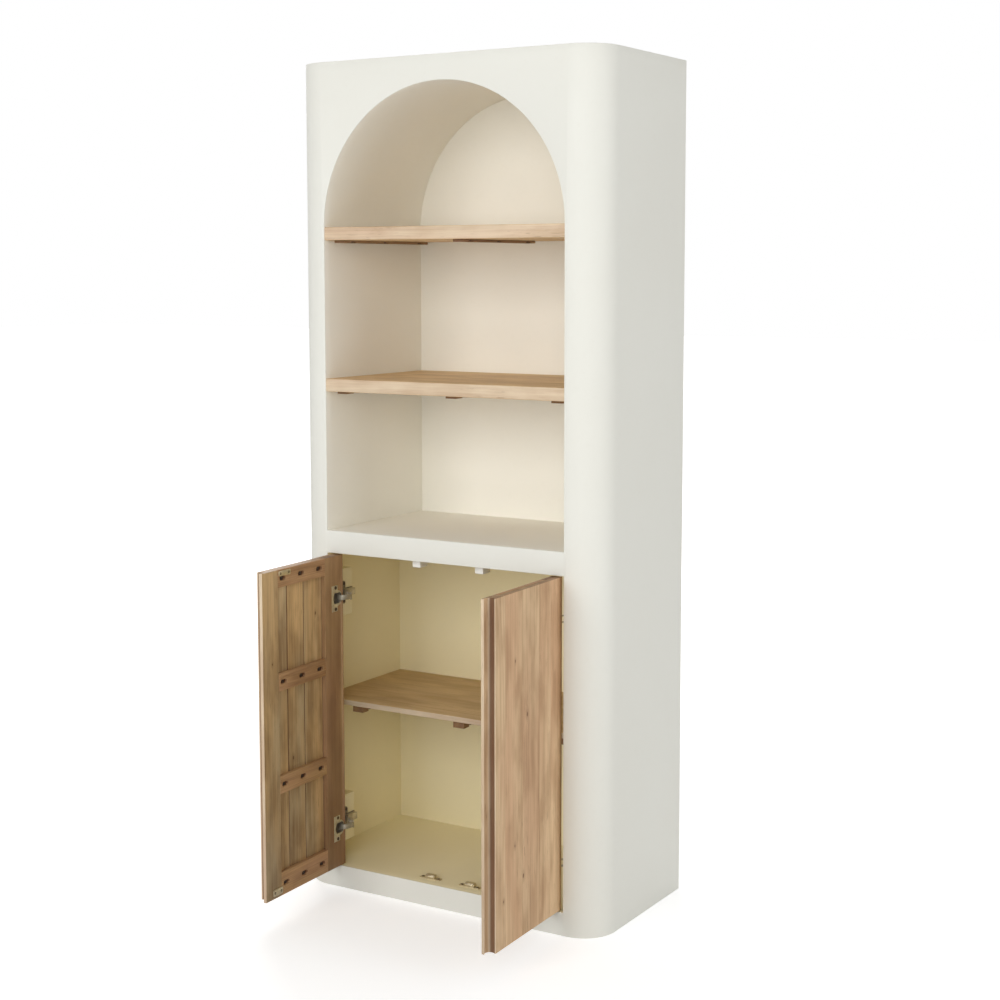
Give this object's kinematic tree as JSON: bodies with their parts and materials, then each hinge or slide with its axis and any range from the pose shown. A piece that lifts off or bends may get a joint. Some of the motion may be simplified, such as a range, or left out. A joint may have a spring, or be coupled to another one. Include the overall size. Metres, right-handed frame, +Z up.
{
  "type": "arched cabinet",
  "caption": "Tall freestanding painted cabinet with an open arched niche of wooden shelves above a cupboard closed by plank doors on concealed hinges.",
  "frame": {"origin": "On the floor, at the middle of the carcass footprint.", "axes": "+Z is up, -Y is the front that the niche and the doors open to, +X is to the right seen from the front."},
  "size_m": [0.765, 0.6741, 1.83],
  "materials": {
    "cream_paint": "smooth cream paint, satin, on board",
    "natural_wood": "light solid wood, oiled, with knots and clear grain",
    "hinge_steel": "nickel-plated pressed steel",
    "screw_steel": "zinc-plated screw heads, dull",
    "white_plastic": "white moulded plastic",
    "catch_steel": "zinc-plated sheet steel"
  },
  "bodies": {
    "cabinet": {"arch_header": "cream_paint", "arch_soffit": "cream_paint", "back_panel": "cream_paint", "cupboard_floor": "cream_paint", "floor_bearer": "cream_paint", "left_corner_post": "cream_paint", "right_corner_post": "cream_paint", "left_side_panel": "cream_paint", "right_side_panel": "cream_paint", "left_stile": "cream_paint", "right_stile": "cream_paint", "left_niche_wall": "cream_paint", "right_niche_wall": "cream_paint", "middle_rail": "cream_paint", "niche_floor": "cream_paint", "plinth_rail": "cream_paint", "top_panel": "cream_paint", "hinge_blocks": "cream_paint", "upper_shelf": "natural_wood", "lower_shelf": "natural_wood", "cupboard_shelf": "natural_wood", "upper_shelf_battens": "natural_wood", "lower_shelf_battens": "natural_wood", "cupboard_shelf_battens": "natural_wood", "shelf_screws": "screw_steel", "hinge_plate_screws": "screw_steel", "hinge_arms": "hinge_steel", "hinge_mounting_plates": "hinge_steel", "top_catches": "white_plastic", "floor_catches": "catch_steel"},
    "left_door": {"left_door_free_stile": "natural_wood", "left_door_plank_1": "natural_wood", "left_door_plank_2": "natural_wood", "left_door_plank_3": "natural_wood", "left_door_hinge_stile": "natural_wood", "left_door_battens": "natural_wood", "left_door_screws": "screw_steel", "left_door_strike_plates": "catch_steel", "left_door_hinge_cups": "hinge_steel"},
    "left_hinge_links": {"left_door_hinge_links": "hinge_steel"},
    "right_door": {"right_door_free_stile": "natural_wood", "right_door_plank_1": "natural_wood", "right_door_plank_2": "natural_wood", "right_door_plank_3": "natural_wood", "right_door_hinge_stile": "natural_wood", "right_door_battens": "natural_wood", "right_door_screws": "screw_steel", "right_door_strike_plates": "catch_steel", "right_door_hinge_cups": "hinge_steel"},
    "right_hinge_links": {"right_door_hinge_links": "hinge_steel"}
  },
  "joints": [
    {"name": "left_door_hinge", "type": "hinge", "parent": "cabinet", "child": "left_door", "pos_m": [-0.2885, -0.192, 0.405], "axis": [0, 0, -1], "range_deg": [-88, 22]},
    {"name": "right_door_hinge", "type": "hinge", "parent": "cabinet", "child": "right_door", "pos_m": [0.2885, -0.192, 0.405], "axis": [0, 0, 1], "range_deg": [-92, 18]},
    {"name": "left_link_hinge", "type": "hinge", "parent": "left_door", "child": "left_hinge_links", "pos_m": [-0.26948, -0.19379, 0.405], "axis": [0, 0, 1], "range_deg": [-135.6, 33.9]},
    {"name": "right_link_hinge", "type": "hinge", "parent": "right_door", "child": "right_hinge_links", "pos_m": [0.26965, -0.19511, 0.405], "axis": [0, 0, -1], "range_deg": [-141.7, 27.8]}
  ],
  "couplings": [
    {"joint": "left_link_hinge", "follows": "left_door_hinge", "ratio": 1.54},
    {"joint": "right_link_hinge", "follows": "right_door_hinge", "ratio": 1.54}
  ]
}
